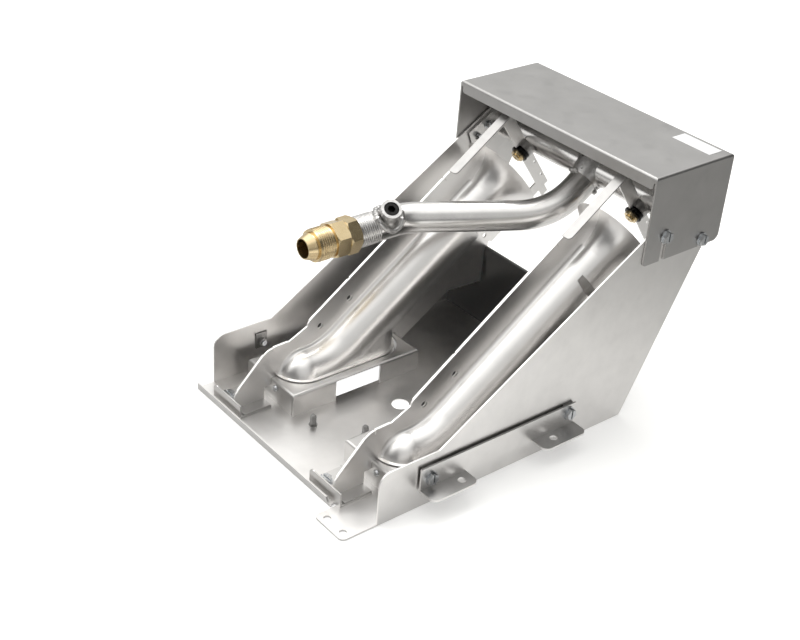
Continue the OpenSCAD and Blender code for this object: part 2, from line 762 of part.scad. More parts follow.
module end_plate(side) {
  difference() {
    burner_frame(side > 0 ? inner - plate_t : -inner) {
      plate_x(0, plate_t) soft_rect(11, -17, 50, 14, 4);
      plate_x(0, plate_t)
        polygon([[6.2, 5], [8.9, 16.4], [11, 16.4], [43, 13.5], [43, 8], [16, -12]]);
    }
    burner_frame(0) for (p = [[13.7, 8, 5.6], [25.6, 9, screw_shank + 0.1]])
      translate([side * inner, p[0], p[1]]) rotate([0, 90, 0])
        cylinder(h = 8, d = p[2], center = true, $fn = 32);
  }
}
module left_end_plate() {
  color([0.6, 0.64, 0.7]) end_plate(-1);
}
module right_end_plate() {
  color([0.6, 0.64, 0.7]) end_plate(1);
}
module plate_screw(side) {
  burner_frame(0) translate([side * (inner - plate_t), 25.6, 9])
    rotate([0, 0, side > 0 ? 180 : 0]) hex_screw(4.6, screw_shank, plate_t - 0.1);
}
module left_plate_screw() {
  color([0.75, 0.76, 0.78]) plate_screw(-1);
}
module right_plate_screw() {
  color([0.75, 0.76, 0.78]) plate_screw(1);
}
module orifice_holder(x0) {
  difference() {
    burner_frame(x0) ring_along(23.5, manifold_reach, holder_diameter / 2, 2.5);
    manifold_bar(pipe_r + 0.02, inner);
  }
}
module orifice_ring(x0) {
  burner_frame(x0) difference() {
    union() {
      along(19.4, 23.5, 6.2);
      along(19.9, 21, 6.6);
    }
    along(19, 24, 4.45);
  }
}
module orifice_tip(x0) {
  burner_frame(x0) difference() {
    union() {
      along(15.9, 19.3, 3.2);
      along(17.2, 19.3, 4.9);
      along(19.2, 23.45, 4.4);
    }
    along(15, 24, 0.9);
    along(19.5, 24, 2.5);
  }
}
module left_orifice_holder() {
  color([0.4, 0.41, 0.41]) orifice_holder(left_x);
}
module right_orifice_holder() {
  color([0.4, 0.41, 0.41]) orifice_holder(right_x);
}
module left_orifice_ring() {
  color([0.08, 0.08, 0.08]) orifice_ring(left_x);
}
module right_orifice_ring() {
  color([0.08, 0.08, 0.08]) orifice_ring(right_x);
}
module left_orifice_tip() {
  color([0.78, 0.6, 0.3]) orifice_tip(left_x);
}
module right_orifice_tip() {
  color([0.78, 0.6, 0.3]) orifice_tip(right_x);
}
module supply_pipe() {
  color([0.68, 0.69, 0.69]) difference() {
    pipe_run(pipe_r, 0);
    pipe_run(pipe_r - 2.77, 1);
    manifold_bar(pipe_r + 0.02, inner);
  }
}
// Weld bead round the foot of the supply pipe
module manifold_weld() {
  color([0.55, 0.55, 0.54]) difference() {
    placed(man_pt, leg_dir, [1, 0, 0]) difference() {
      cylinder(h = pipe_r + 2, r1 = pipe_r + 4, r2 = pipe_r + 0.6, $fn = 96);
      translate([0, 0, -1]) cylinder(h = pipe_r + 4, r = pipe_r + e, $fn = 96);
    }
    manifold_bar(pipe_r + e, inner);
  }
}
module boss_solid(h0, h1, r) {
  placed(boss_base, boss_dir, [1, 0, 0]) translate([0, 0, h0]) cylinder(h = h1 - h0, r = r, $fn = 64);
}
module tap_boss() {
  color([0.62, 0.63, 0.62]) difference() {
    union() {
      boss_solid(0, boss_length, boss_diameter / 2);
      placed(boss_base, boss_dir, [1, 0, 0])
        cylinder(h = pipe_r + 2.6, r1 = boss_diameter / 2 + 3.4, r2 = boss_diameter / 2, $fn = 64);
    }
    pipe_run(pipe_r + 0.02, 0);
    boss_solid(boss_length - 8, boss_length + 1, plug_diameter / 2 + 0.02);
    translate(boss_base) sphere(pipe_r, $fn = 64);
  }
}
module socket_plug() {
  color([0.06, 0.06, 0.06]) difference() {
    union() {
      boss_solid(boss_length - 7.6, boss_length - 0.9, plug_diameter / 2);
      placed(boss_base, boss_dir, [1, 0, 0]) translate([0, 0, boss_length - 0.9])
        cylinder(h = 0.6, r1 = plug_diameter / 2, r2 = plug_diameter / 2 - 0.6, $fn = 64);
    }
    placed(boss_base, boss_dir, [1, 0, 0]) translate([0, 0, boss_length - 4.6])
      cylinder(h = 6, d = 4.8 / cos(30), $fn = 6);
  }
}
// Coaxial parts of the inlet, measured along Y
module inlet(y0, y1, r0, r1) {
  translate([turn[0], y1, turn[2]]) rotate([90, 0, 0])
    cylinder(h = y1 - y0, r1 = r1, r2 = r0, $fn = 96);
}
module hexagon(y0, y1, turned) {
  intersection() {
    translate([turn[0], y1, turn[2]]) rotate([90, 0, 0]) rotate([0, 0, turned])
      cylinder(h = y1 - y0, d = hex_flats / cos(30), $fn = 6);
    union() {
      inlet(y0, y0 + 1.2, hex_flats / 2 + 0.4, hex_flats / 2 + 2.1);
      inlet(y0 + 1.2 - e, y1 - 1.2 + e, hex_flats / 2 + 2.1, hex_flats / 2 + 2.1);
      inlet(y1 - 1.2, y1, hex_flats / 2 + 2.1, hex_flats / 2 + 0.4);
    }
  }
}
module hex_coupling() {
  color([0.8, 0.64, 0.36]) difference() {
    hexagon(hex_b[1], hex_b[0], 8);
    inlet(pipe_end - 0.5, hex_b[0] + 1, pipe_r + 0.02, pipe_r + 0.02);
    inlet(hex_b[1] - 1, pipe_end, 8.02, 8.02);
  }
}
module flare_adapter() {
  color([0.82, 0.66, 0.38]) difference() {
    union() {
      hexagon(hex_a[1], hex_a[0] - 0.02, 24);
      inlet(hex_a[0] - 1, hex_a[0] + spigot, 8, 8);
      inlet(hex_a[1] - 1.5, hex_a[1] + 1, flare_thread / 2 - 1, flare_thread / 2 - 1);
      inlet(thread_end, hex_a[1] - 1.4, flare_thread / 2, flare_thread / 2);
      inlet(thread_end - 1.6, thread_end + 1, flare_thread / 2 - 1.6, flare_thread / 2 - 1.6);
      inlet(nose_end, thread_end - 1.5, flare_bore / 2 + 0.7, flare_thread / 2 - 1.6);
    }
    inlet(nose_end - 1, hex_a[1], flare_bore / 2, flare_bore / 2);
    inlet(hex_a[1] - 1, hex_a[0] + 5, 5.4, 5.4);
  }
}
module cover_screw(side, p) {
  on_side(side) translate([cover_half + 0.2, p[0], p[1]])
    hex_screw(screw_flats, screw_shank, cover_half + 0.2 - inner + 5);
}
module left_cover_screw_front() {
  color([0.62, 0.64, 0.68]) cover_screw(-1, screw_a);
}
module left_cover_screw_rear() {
  color([0.62, 0.64, 0.68]) cover_screw(-1, screw_b);
}
module right_cover_screw_front() {
  color([0.62, 0.64, 0.68]) cover_screw(1, screw_a);
}
module right_cover_screw_rear() {
  color([0.62, 0.64, 0.68]) cover_screw(1, screw_b);
}
module stud(x, y) {
  translate([x, y, sheet]) {
    cylinder(h = 7.6, d = 4, $fn = 32);
    translate([0, 0, 7.58]) cylinder(h = 0.8, d1 = 4, d2 = 2.8, $fn = 32);
    cylinder(h = 0.8, d = 6, $fn = 32);
  }
}
module front_stud() {
  color([0.35, 0.35, 0.34]) stud(-12.8, 27.8);
}
module rear_stud() {
  color([0.35, 0.35, 0.34]) stud(16.5, 49.6);
}
// Plain sticker, left bare
module blank_label() {
  color([0.95, 0.95, 0.95])
    translate([cover_half - label_edge - label_size[0], cover_rear - 4 - label_size[1], cover_top + 0.01])
      cube([label_size[0], label_size[1], 0.15]);
}

base_pan();
left_side_panel();
right_side_panel();
back_panel();
cover();
left_channel();
right_channel();
left_burner_near_half();
left_burner_far_half();
right_burner_near_half();
right_burner_far_half();
left_hanger();
right_hanger();
left_clip();
right_clip();
left_clip_screw();
right_clip_screw();
left_channel_screw();
right_channel_screw();
left_bracket();
right_bracket();
left_bracket_screw_front();
left_bracket_screw_rear();
right_bracket_screw_front();
right_bracket_screw_rear();
left_clip_nut_front();
left_clip_nut_rear();
right_clip_nut_front();
right_clip_nut_rear();
manifold_pipe();
left_end_plate();
right_end_plate();
left_plate_screw();
right_plate_screw();
left_orifice_holder();
right_orifice_holder();
left_orifice_ring();
right_orifice_ring();
left_orifice_tip();
right_orifice_tip();
supply_pipe();
manifold_weld();
tap_boss();
socket_plug();
hex_coupling();
flare_adapter();
left_cover_screw_front();
left_cover_screw_rear();
right_cover_screw_front();
right_cover_screw_rear();
front_stud();
rear_stud();
blank_label();
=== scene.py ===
"""Looks of the gas burner: materials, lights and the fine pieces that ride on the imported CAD."""
import math

import bpy
from mathutils import Matrix, Vector, noise


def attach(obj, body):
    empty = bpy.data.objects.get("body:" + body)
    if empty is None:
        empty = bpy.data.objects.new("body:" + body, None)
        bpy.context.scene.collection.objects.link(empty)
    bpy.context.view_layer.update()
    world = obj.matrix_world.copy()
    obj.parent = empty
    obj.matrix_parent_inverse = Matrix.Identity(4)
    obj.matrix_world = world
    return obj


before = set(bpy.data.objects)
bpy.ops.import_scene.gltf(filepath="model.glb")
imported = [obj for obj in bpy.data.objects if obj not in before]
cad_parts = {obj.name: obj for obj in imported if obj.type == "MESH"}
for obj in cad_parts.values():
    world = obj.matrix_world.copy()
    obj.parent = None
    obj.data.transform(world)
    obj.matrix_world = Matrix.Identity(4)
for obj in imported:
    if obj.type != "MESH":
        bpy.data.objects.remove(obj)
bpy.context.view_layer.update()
MM = 0.001
WHITE = (1, 1, 1, 1)

# Camera, set to the photograph's viewpoint
CAMERA_PLACE = Vector((594.84, -430.12, 551.06)) * MM
CAMERA_AZIMUTH = math.radians(49.0)
CAMERA_ELEVATION = math.radians(31.32)
CAMERA_ROLL = math.radians(4.45)
CAMERA_LENS = 62.3
CAMERA_SENSOR = 36

# Key lamp, in metres and watts
KEY_PLACE = (-0.5, 0.7, 1.8)
KEY_TARGET = (0, 0.15, 0.05)
KEY_SIZE = (0.9, 0.9)
KEY_POWER = 10

# Soft boxes of the room: direction, cosine where each begins and is full, and its brightness
ROOM_COLOUR = (1, 1, 0.985)
ROOM_LEVEL = 0.13
ROOM_LOBES = (
    ((-0.20, 0.05, 0.98), 0.55, 0.90, 1.25),
    ((-0.75, 0.52, 0.42), 0.70, 0.92, 0.55),
    ((-0.45, -0.60, 0.66), 0.75, 0.93, 1.20),
    ((0.75, -0.30, 0.59), 0.78, 0.97, 0.50),
)

# Table, in metres, with the light that is added to it where it is seen directly
TABLE_HALF = 3.0
TABLE_DROP = 0.0002
TABLE_COLOUR = (0.82, 0.815, 0.80)
TABLE_ROUGH = 0.9
TABLE_SEEN = 0.36

# Table in reflections: its painted shade at the front and far behind, its painted glow up to behind the part,
# and the spans over which they change, along X + Y for the front and along Y + X * TABLE_LEAN for the others
TABLE_FRONT_SHADE = 0.42
FRONT_SPAN = (0.0, 0.2)
TABLE_FAR_SHADE = 0.42
FAR_SPAN = (0.25, 0.62)
TABLE_PAINTED_GLOW = 0.28
GLOW_SPAN = (0.20, 0.45)
TABLE_LEAN = 0.5

# Patch of painted light on the table under the tray: its strength, its middle along Y, and the spans over
# which its edges fade
UNDER_PAINTED_LIGHT = 0.6
UNDER_MIDDLE = 0.105
UNDER_SIDES = (0.082, 0.092)
UNDER_ENDS = (0.085, 0.10)

# Grain of the metals: the part of a noise that is used, the detail of the tone's noise and of the finer ones,
# the gloss's scale as a share of the tone's, and the relief's depth in metres
NOISE_CUT = (0.3, 0.7)
TONE_DETAIL = 4.0
FINE_DETAIL = 3.0
GLOSS_SCALE = 0.6
RELIEF_DEPTH = 0.0002

# Stains: scale and cut of their noise, and their tone as a share of the metal's dark tone
STAIN_SCALE = 55
STAIN_CUT = (0.58, 0.72)
STAIN_TONE = 0.55

# Painted shade on the front of the back panel: where it starts along Y and its soft edge, in metres, and its
# colour
PAINTED_SHADE_FRONT = 0.2149
PAINTED_SHADE_EDGE = 0.0003
PAINTED_SHADE_COLOUR = (0.14, 0.14, 0.14)

# Painted shade in the clinched cups of the burners' far halves, in millimetres: Y and Z of each, and
# the radius, soft edge and shift of the shaded part
CUPS = ((62.3, 46.4), (86.7, 61.0))
CUP_RADIUS = 2.3
CUP_EDGE = 0.85
CUP_SHIFT = 0.35
CUP_SHADE_COLOUR = (0.10, 0.10, 0.10)

# Paper of the label
PAPER_TONE = (0.76, 0.84)
PAPER_SCALE = 300
PAPER_DETAIL = 2.0
PAPER_ROUGH = 0.5

# Places of the CAD parts that the fine pieces sit on, in millimetres
PIPE_RADIUS = 10.65
INLET = Vector((-45.3, 0, 118.4))
BOSS_BASE = Vector((-45.3, 107.1, 118.4))
BOSS_DIRECTION = Vector((0.52, -0.24, 0.82)).normalized()
BOSS_RADIUS = 7.2
LEG_END = Vector((5.6, 252.0, 145.2))
LEG_DIRECTION = Vector((0, -0.813, -0.582)).normalized()
ALONG_Y = Vector((0, 1, 0))
UP = Vector((0, 0, 1))

# Sine of the angle to UP below which a direction counts as upright
UPRIGHT = 0.1

# Threads, in millimetres: where they start and end, and the radius, height and pitch of the ridge
FLARE_SPAN = (45.6, 57.0)
FLARE_ROOT = 11.1
FLARE_HEIGHT = 0.4
FLARE_PITCH = 1.8
PIPE_SPAN = (79.2, 96.5)
PIPE_HEIGHT = 0.35
PIPE_PITCH = 1.81
STUD_PLACES = {"front": (-12.8, 27.8), "rear": (16.5, 49.6)}
STUD_START = 2.2
STUD_LENGTH = 6.4
STUD_ROOT = 2.0
STUD_HEIGHT = 0.22
STUD_PITCH = 0.8
STUD_STEPS = 20

# Shape of a thread's ridge: points per turn, turns over which each end runs out, the share of its height
# left there, how far its foot is sunk in, in millimetres, and as shares of the pitch the room left at each
# end and half the widths of its foot and crest
RIDGE_STEPS = 28
RIDGE_RUN_OUT = 0.5
RIDGE_LOWEST = 0.1
RIDGE_SUNK = 0.15
RIDGE_END = 0.3
RIDGE_FOOT = 0.42
RIDGE_CREST = 0.10

# Weld bead round the tap boss: its radius, how far outside the boss and above the pipe it runs, the end and
# the step of the search for the pipe, all in millimetres, then the points along and round it, and the share
# and scale of its lumps
BEAD_SWELL = 2.3
BEAD_OUT = 2.2
BEAD_CLEAR = 0.2
BEAD_REACH = 14
BEAD_TRY = 0.1
BEAD_STEPS = 72
BEAD_SIDES = 10
BEAD_LUMP = 0.35
BEAD_LUMP_SCALE = 0.55
BEAD_SEED = 3.0

# Weld drops where the supply pipe meets the manifold: their number, the first one's angle and the step, in
# degrees, how far they sit before the leg's end and outside the pipe, how far and how fast they sway along
# it, their size, its spread and its rate, in millimetres, then the rows and sides of each, the share of it
# cut off at each tip, its length over its width, and the share and scale of its lumps
DROPS = 11
DROP_FIRST = -75
DROP_STEP = 24
DROP_BACK = 12.4
DROP_OUT = 0.8
DROP_SWAY = 0.8
DROP_SWAY_RATE = 2.3
DROP_SIZE = 1.5
DROP_SPREAD = 0.3
DROP_SPREAD_RATE = 1.7
DROP_ROWS = 7
DROP_SIDES = 12
DROP_CAP = 0.04
DROP_LONG = 1.6
DROP_LUMP = 0.3
DROP_LUMP_SCALE = 1.7


def link_object(name, data):
    """A new object in the scene, made of data."""
    thing = bpy.data.objects.new(name, data)
    bpy.context.scene.collection.objects.link(thing)
    return thing


def make_camera():
    az, el, roll = CAMERA_AZIMUTH, CAMERA_ELEVATION, CAMERA_ROLL
    back = Vector((math.sin(az) * math.cos(el), -math.cos(az) * math.cos(el), math.sin(el)))
    level = Vector((math.cos(az), math.sin(az), 0))
    rise = back.cross(level)
    right = math.cos(roll) * level + math.sin(roll) * rise
    up = back.cross(right)
    camera = link_object("camera", bpy.data.cameras.new("camera"))
    camera.data.lens = CAMERA_LENS
    camera.data.sensor_width = CAMERA_SENSOR
    camera.data.sensor_fit = "HORIZONTAL"
    camera.matrix_world = Matrix((
        (right.x, up.x, back.x, CAMERA_PLACE.x),
        (right.y, up.y, back.y, CAMERA_PLACE.y),
        (right.z, up.z, back.z, CAMERA_PLACE.z),
        (0, 0, 0, 1),
    ))
    bpy.context.scene.camera = camera


def make_key():
    lamp = link_object("key", bpy.data.lights.new("key", "AREA"))
    lamp.data.shape = "RECTANGLE"
    lamp.data.size, lamp.data.size_y = KEY_SIZE
    lamp.data.energy = KEY_POWER
    lamp.location = KEY_PLACE
    aim = Vector(KEY_TARGET) - Vector(KEY_PLACE)
    lamp.rotation_euler = aim.to_track_quat("-Z", "Y").to_euler()


def math_node(tree, operation, *values, clamp=False):
    """A math node; each value is a socket or a number."""
    node = tree.nodes.new("ShaderNodeMath")
    node.operation = operation
    node.use_clamp = clamp
    for socket, value in zip(node.inputs, values):
        if isinstance(value, (int, float)):
            socket.default_value = value
        else:
            tree.links.new(value, socket)
    return node.outputs[0]


def vector_node(tree, operation, vector, constant, output):
    """A vector math node on a socket and a constant."""
    node = tree.nodes.new("ShaderNodeVectorMath")
    node.operation = operation
    tree.links.new(vector, node.inputs[0])
    node.inputs[1].default_value = constant
    return node.outputs[output]


def remap(tree, value, span, ends, smooth=True):
    """A value taken from span to ends, and held at the ends beyond it."""
    node = tree.nodes.new("ShaderNodeMapRange")
    node.interpolation_type = "SMOOTHSTEP" if smooth else "LINEAR"
    node.inputs["From Min"].default_value, node.inputs["From Max"].default_value = span
    node.inputs["To Min"].default_value, node.inputs["To Max"].default_value = ends
    tree.links.new(value, node.inputs["Value"])
    return node.outputs["Result"]


def make_world():
    """A dim room with soft boxes, white where the camera sees it directly."""
    world = bpy.data.worlds.new("studio")
    bpy.context.scene.world = world
    world.use_nodes = True
    tree = world.node_tree
    tree.nodes.clear()
    out = tree.nodes.new("ShaderNodeOutputWorld")
    mix = tree.nodes.new("ShaderNodeMixShader")
    path = tree.nodes.new("ShaderNodeLightPath")
    seen = tree.nodes.new("ShaderNodeBackground")
    seen.inputs["Color"].default_value = WHITE
    seen.inputs["Strength"].default_value = 1.0
    room = tree.nodes.new("ShaderNodeBackground")
    room.inputs["Color"].default_value = (*ROOM_COLOUR, 1)
    look = tree.nodes.new("ShaderNodeTexCoord").outputs["Generated"]
    level = ROOM_LEVEL
    for direction, begin, full, strength in ROOM_LOBES:
        facing = vector_node(tree, "DOT_PRODUCT", look, Vector(direction).normalized(), "Value")
        glow = remap(tree, facing, (begin, full), (0.0, strength))
        level = math_node(tree, "ADD", level, glow)
    tree.links.new(level, room.inputs["Strength"])
    tree.links.new(path.outputs["Is Camera Ray"], mix.inputs["Fac"])
    tree.links.new(room.outputs[0], mix.inputs[1])
    tree.links.new(seen.outputs[0], mix.inputs[2])
    tree.links.new(mix.outputs[0], out.inputs["Surface"])


def node_material(name):
    """A material with one plain shader: the material, its tree, the shader and the surface's socket."""
    material = bpy.data.materials.new(name)
    material.use_nodes = True
    tree = material.node_tree
    tree.nodes.clear()
    surface = tree.nodes.new("ShaderNodeOutputMaterial").inputs["Surface"]
    shader = tree.nodes.new("ShaderNodeBsdfPrincipled")
    tree.links.new(shader.outputs[0], surface)
    return material, tree, shader, surface


def object_coords(tree):
    return tree.nodes.new("ShaderNodeTexCoord").outputs["Object"]


def split_coords(tree, coords):
    split = tree.nodes.new("ShaderNodeSeparateXYZ")
    tree.links.new(coords, split.inputs[0])
    return split.outputs["X"], split.outputs["Y"]


def noise_texture(tree, coords, scale, detail):
    texture = tree.nodes.new("ShaderNodeTexNoise")
    texture.inputs["Scale"].default_value = scale
    texture.inputs["Detail"].default_value = detail
    tree.links.new(coords, texture.inputs["Vector"])
    return texture.outputs["Fac"]


def noise_value(tree, coords, scale, detail, ends, cut=NOISE_CUT):
    """A noise taken from cut to ends."""
    return remap(tree, noise_texture(tree, coords, scale, detail), cut, ends, smooth=False)


def blend_colour(tree, factor, first, second):
    """Mixes two colours; each is a socket or a plain colour."""
    node = tree.nodes.new("ShaderNodeMix")
    node.data_type = "RGBA"
    tree.links.new(factor, node.inputs["Factor"])
    for key, value in (("A", first), ("B", second)):
        if isinstance(value, tuple):
            node.inputs[key].default_value = (*value, 1)
        else:
            tree.links.new(value, node.inputs[key])
    return node.outputs["Result"]


def add_stain(tree, coords, shade, dark, stain):
    blot = noise_value(tree, coords, STAIN_SCALE, FINE_DETAIL, (0.0, stain), STAIN_CUT)
    return blend_colour(tree, blot, shade, tuple(channel * STAIN_TONE for channel in dark))


# Painted shade: the panel's front face, in front of the given Y, is darkened
def add_painted_shade(tree, coords, shade, front):
    y = split_coords(tree, coords)[1]
    inner_shade = remap(tree, y, (front - PAINTED_SHADE_EDGE, front), (1.0, 0.0))
    return blend_colour(tree, inner_shade, shade, PAINTED_SHADE_COLOUR)


def shade_cup(tree, coords, shade, cup):
    """Paints shade over the shaded part of a clinched cup, whatever its X."""
    flat = vector_node(tree, "MULTIPLY", coords, (0, 1, 1), "Vector")
    middle = Vector((0, cup[0] - CUP_SHIFT, cup[1] + CUP_SHIFT)) * MM
    reach = vector_node(tree, "DISTANCE", flat, middle, "Value")
    cup_shade_mask = remap(tree, reach, (CUP_RADIUS * CUP_EDGE * MM, CUP_RADIUS * MM), (1.0, 0.0))
    return blend_colour(tree, cup_shade_mask, shade, CUP_SHADE_COLOUR)


def add_relief(tree, coords, shader, strength, scale):
    relief = tree.nodes.new("ShaderNodeBump")
    relief.inputs["Strength"].default_value = strength
    relief.inputs["Distance"].default_value = RELIEF_DEPTH
    tree.links.new(noise_texture(tree, coords, scale, FINE_DETAIL), relief.inputs["Height"])
    tree.links.new(relief.outputs["Normal"], shader.inputs["Normal"])


def metal(name, colour, dark, rough, spread, mottle, bump, grain, stretch=(1, 1, 1), stain=0.0,
          painted_shade_front=None, cups=()):
    """A metal whose tone and roughness drift in soft patches, with a fine grain in its surface.

    In front of the Y given for painted shade, in metres, it is darkened by painted shade, and the clinched
    cups, given as Y and Z in millimetres, get painted shade in their hollows.
    """
    material, tree, shader, _ = node_material(name)
    shader.inputs["Metallic"].default_value = 1.0
    coords = object_coords(tree)
    mapping = tree.nodes.new("ShaderNodeMapping")
    mapping.inputs["Scale"].default_value = stretch
    tree.links.new(coords, mapping.inputs["Vector"])
    spot = mapping.outputs["Vector"]
    tone = noise_value(tree, spot, mottle, TONE_DETAIL, (0.0, 1.0))
    shade = blend_colour(tree, tone, dark, colour)
    if stain:
        shade = add_stain(tree, coords, shade, dark, stain)
    # Painted shade over the front face, in front of the given Y
    if painted_shade_front is not None:
        shade = add_painted_shade(tree, coords, shade, painted_shade_front)
    # Painted shade in the hollows of the clinched cups
    for cup in cups:
        shade = shade_cup(tree, coords, shade, cup)
    tree.links.new(shade, shader.inputs["Base Color"])
    gloss = noise_value(tree, spot, mottle * GLOSS_SCALE, FINE_DETAIL, (rough - spread, rough + spread))
    tree.links.new(gloss, shader.inputs["Roughness"])
    add_relief(tree, spot, shader, bump, grain)
    return material


def paper(name):
    """White paper with a faint mottle."""
    material, tree, shader, _ = node_material(name)
    tone = noise_value(tree, object_coords(tree), PAPER_SCALE, PAPER_DETAIL, PAPER_TONE)
    colour = tree.nodes.new("ShaderNodeCombineColor")
    for channel in ("Red", "Green", "Blue"):
        tree.links.new(tone, colour.inputs[channel])
    tree.links.new(colour.outputs[0], shader.inputs["Base Color"])
    shader.inputs["Roughness"].default_value = PAPER_ROUGH
    return material


def table_shaded_tone(tree, path, front_way, back_way):
    """The table's colour, with painted shade at the front and far behind in reflections."""
    # Painted shade: the table looks darker in reflections far behind the part and at the front
    far_shade = remap(tree, back_way, FAR_SPAN, (1.0, TABLE_FAR_SHADE))
    front = remap(tree, front_way, FRONT_SPAN, (TABLE_FRONT_SHADE, 1.0))
    mirrored = math_node(tree, "MULTIPLY", far_shade, front)
    dimmed = blend_colour(tree, mirrored, (0, 0, 0), TABLE_COLOUR)
    return blend_colour(tree, path.outputs["Is Glossy Ray"], TABLE_COLOUR, dimmed)


def table_light(tree, path, x, y, back_way):
    """The light added to the table: where it is seen, a painted glow near the part in reflections, and
    painted light under the tray.
    """
    camera, glossy = path.outputs["Is Camera Ray"], path.outputs["Is Glossy Ray"]
    direct = math_node(tree, "ADD", camera, path.outputs["Is Transmission Ray"], clamp=True)
    seen = math_node(tree, "MULTIPLY", direct, TABLE_SEEN)
    # Painted glow on the table round the part, seen only in reflections
    near = remap(tree, back_way, GLOW_SPAN, (TABLE_PAINTED_GLOW, 0.0))
    glow = math_node(tree, "MULTIPLY", glossy, near)
    # Painted light under the tray, which lifts the table's shadow there where it is seen and in reflections
    beside = math_node(tree, "ABSOLUTE", x)
    along = math_node(tree, "ABSOLUTE", math_node(tree, "ADD", y, -UNDER_MIDDLE))
    sides = remap(tree, beside, UNDER_SIDES, (1.0, 0.0))
    ends = remap(tree, along, UNDER_ENDS, (1.0, 0.0))
    under = math_node(tree, "MULTIPLY", sides, ends)
    looked = math_node(tree, "ADD", camera, glossy, clamp=True)
    white = math_node(tree, "MULTIPLY", math_node(tree, "MULTIPLY", under, looked), UNDER_PAINTED_LIGHT)
    return math_node(tree, "ADD", math_node(tree, "ADD", seen, glow), white)


def make_table():
    half, drop = TABLE_HALF, -TABLE_DROP
    corners = [(-half, -half, drop), (half, -half, drop), (half, half, drop), (-half, half, drop)]
    mesh = bpy.data.meshes.new("floor")
    mesh.from_pydata(corners, [], [(0, 1, 2, 3)])
    floor = link_object("floor", mesh)
    material, tree, shader, surface = node_material("floor")
    shader.inputs["Roughness"].default_value = TABLE_ROUGH
    path = tree.nodes.new("ShaderNodeLightPath")
    x, y = split_coords(tree, object_coords(tree))
    front_way = math_node(tree, "ADD", x, y)
    back_way = math_node(tree, "ADD", y, math_node(tree, "MULTIPLY", x, TABLE_LEAN))
    tree.links.new(table_shaded_tone(tree, path, front_way, back_way), shader.inputs["Base Color"])
    lift = tree.nodes.new("ShaderNodeEmission")
    lift.inputs["Color"].default_value = WHITE
    tree.links.new(table_light(tree, path, x, y, back_way), lift.inputs["Strength"])
    both = tree.nodes.new("ShaderNodeAddShader")
    tree.links.new(shader.outputs[0], both.inputs[0])
    tree.links.new(lift.outputs[0], both.inputs[1])
    tree.links.new(both.outputs[0], surface)
    mesh.materials.append(material)


def grey(level, blue=-0.035):
    """A grey whose blue is raised by the share blue, and its green by half of that."""
    return (level, level * (1 + blue * 0.5), level * (1 + blue))


def both_sides(*parts):
    """The names of the left and right one of each part."""
    return [f"{side}_{part}" for part in parts for side in ("left", "right")]


BURNER = dict(
    colour=grey(0.95), dark=grey(0.91), rough=0.31, spread=0.02, mottle=60, bump=0.015, grain=3000,
    stain=0.05)

# Finishes of the metals. Mottle and grain are the scales of their noises, per metre
FINISHES = {
    "tray": dict(
        colour=grey(0.74), dark=grey(0.70), rough=0.33, spread=0.02, mottle=90, bump=0.05, grain=2600,
        stain=0.08),
    "box": dict(
        colour=grey(0.62), dark=grey(0.57), rough=0.34, spread=0.02, mottle=90, bump=0.05, grain=2600,
        stain=0.12),
    "cover": dict(
        colour=grey(0.44), dark=grey(0.41), rough=0.34, spread=0.02, mottle=70, bump=0.06, grain=2600,
        stain=0.16),
    # The back panel's front face gets painted shade
    "back": dict(
        colour=grey(0.72), dark=grey(0.67), rough=0.38, spread=0.03, mottle=160, bump=0.06, grain=2600,
        stain=0.10, painted_shade_front=PAINTED_SHADE_FRONT),
    "burner": BURNER,
    # The burners' far halves get painted shade in their clinched cups
    "far_half": dict(BURNER, cups=CUPS),
    "strip": dict(
        colour=grey(0.55), dark=grey(0.50), rough=0.42, spread=0.04, mottle=200, bump=0.06, grain=2000),
    "pipe": dict(
        colour=grey(0.80), dark=grey(0.74), rough=0.25, spread=0.03, mottle=90, bump=0.02, grain=2600,
        stain=0.05),
    "holder": dict(
        colour=grey(0.52), dark=grey(0.46), rough=0.34, spread=0.04, mottle=220, bump=0.06, grain=1800),
    "weld": dict(
        colour=grey(0.66), dark=grey(0.46), rough=0.34, spread=0.1, mottle=420, bump=0.5, grain=700),
    "sealant": dict(
        colour=grey(0.80), dark=grey(0.52), rough=0.42, spread=0.1, mottle=380, bump=0.5, grain=900,
        stretch=(1, 2.2, 1)),
    "zinc": dict(
        colour=grey(0.56, 0.05), dark=grey(0.44, 0.05), rough=0.20, spread=0.05, mottle=400, bump=0.1,
        grain=2200),
    "nut": dict(
        colour=grey(0.36), dark=grey(0.26), rough=0.34, spread=0.06, mottle=400, bump=0.1, grain=2200),
    "black": dict(
        colour=grey(0.035), dark=grey(0.02), rough=0.38, spread=0.08, mottle=500, bump=0.15, grain=2000),
    "brass": dict(
        colour=(0.80, 0.65, 0.40), dark=(0.70, 0.55, 0.32), rough=0.26, spread=0.02, mottle=120,
        bump=0.015, grain=2200),
}

# Finish of each CAD part. The parts that aren't named, all of them screws, are zinc
LOOK = {
    "paper": ["blank_label"],
    "tray": ["base_pan", *both_sides("side_panel", "bracket", "end_plate")],
    "box": both_sides("channel", "clip"),
    "cover": ["cover"],
    "back": ["back_panel"],
    "burner": both_sides("burner_near_half"),
    "far_half": both_sides("burner_far_half"),
    "strip": both_sides("hanger"),
    "pipe": ["manifold_pipe", "supply_pipe"],
    "holder": both_sides("orifice_holder"),
    "weld": ["manifold_weld", "tap_boss"],
    "nut": ["front_stud", "rear_stud", *both_sides("clip_nut_front", "clip_nut_rear")],
    "black": ["socket_plug", *both_sides("orifice_ring")],
    "brass": ["hex_coupling", "flare_adapter", *both_sides("orifice_tip")],
}


def paint_parts():
    finish_of = {part: key for key, parts in LOOK.items() for part in parts}
    for name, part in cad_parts.items():
        part.data.materials.clear()
        part.data.materials.append(MATERIALS[finish_of.get(name, "zinc")])


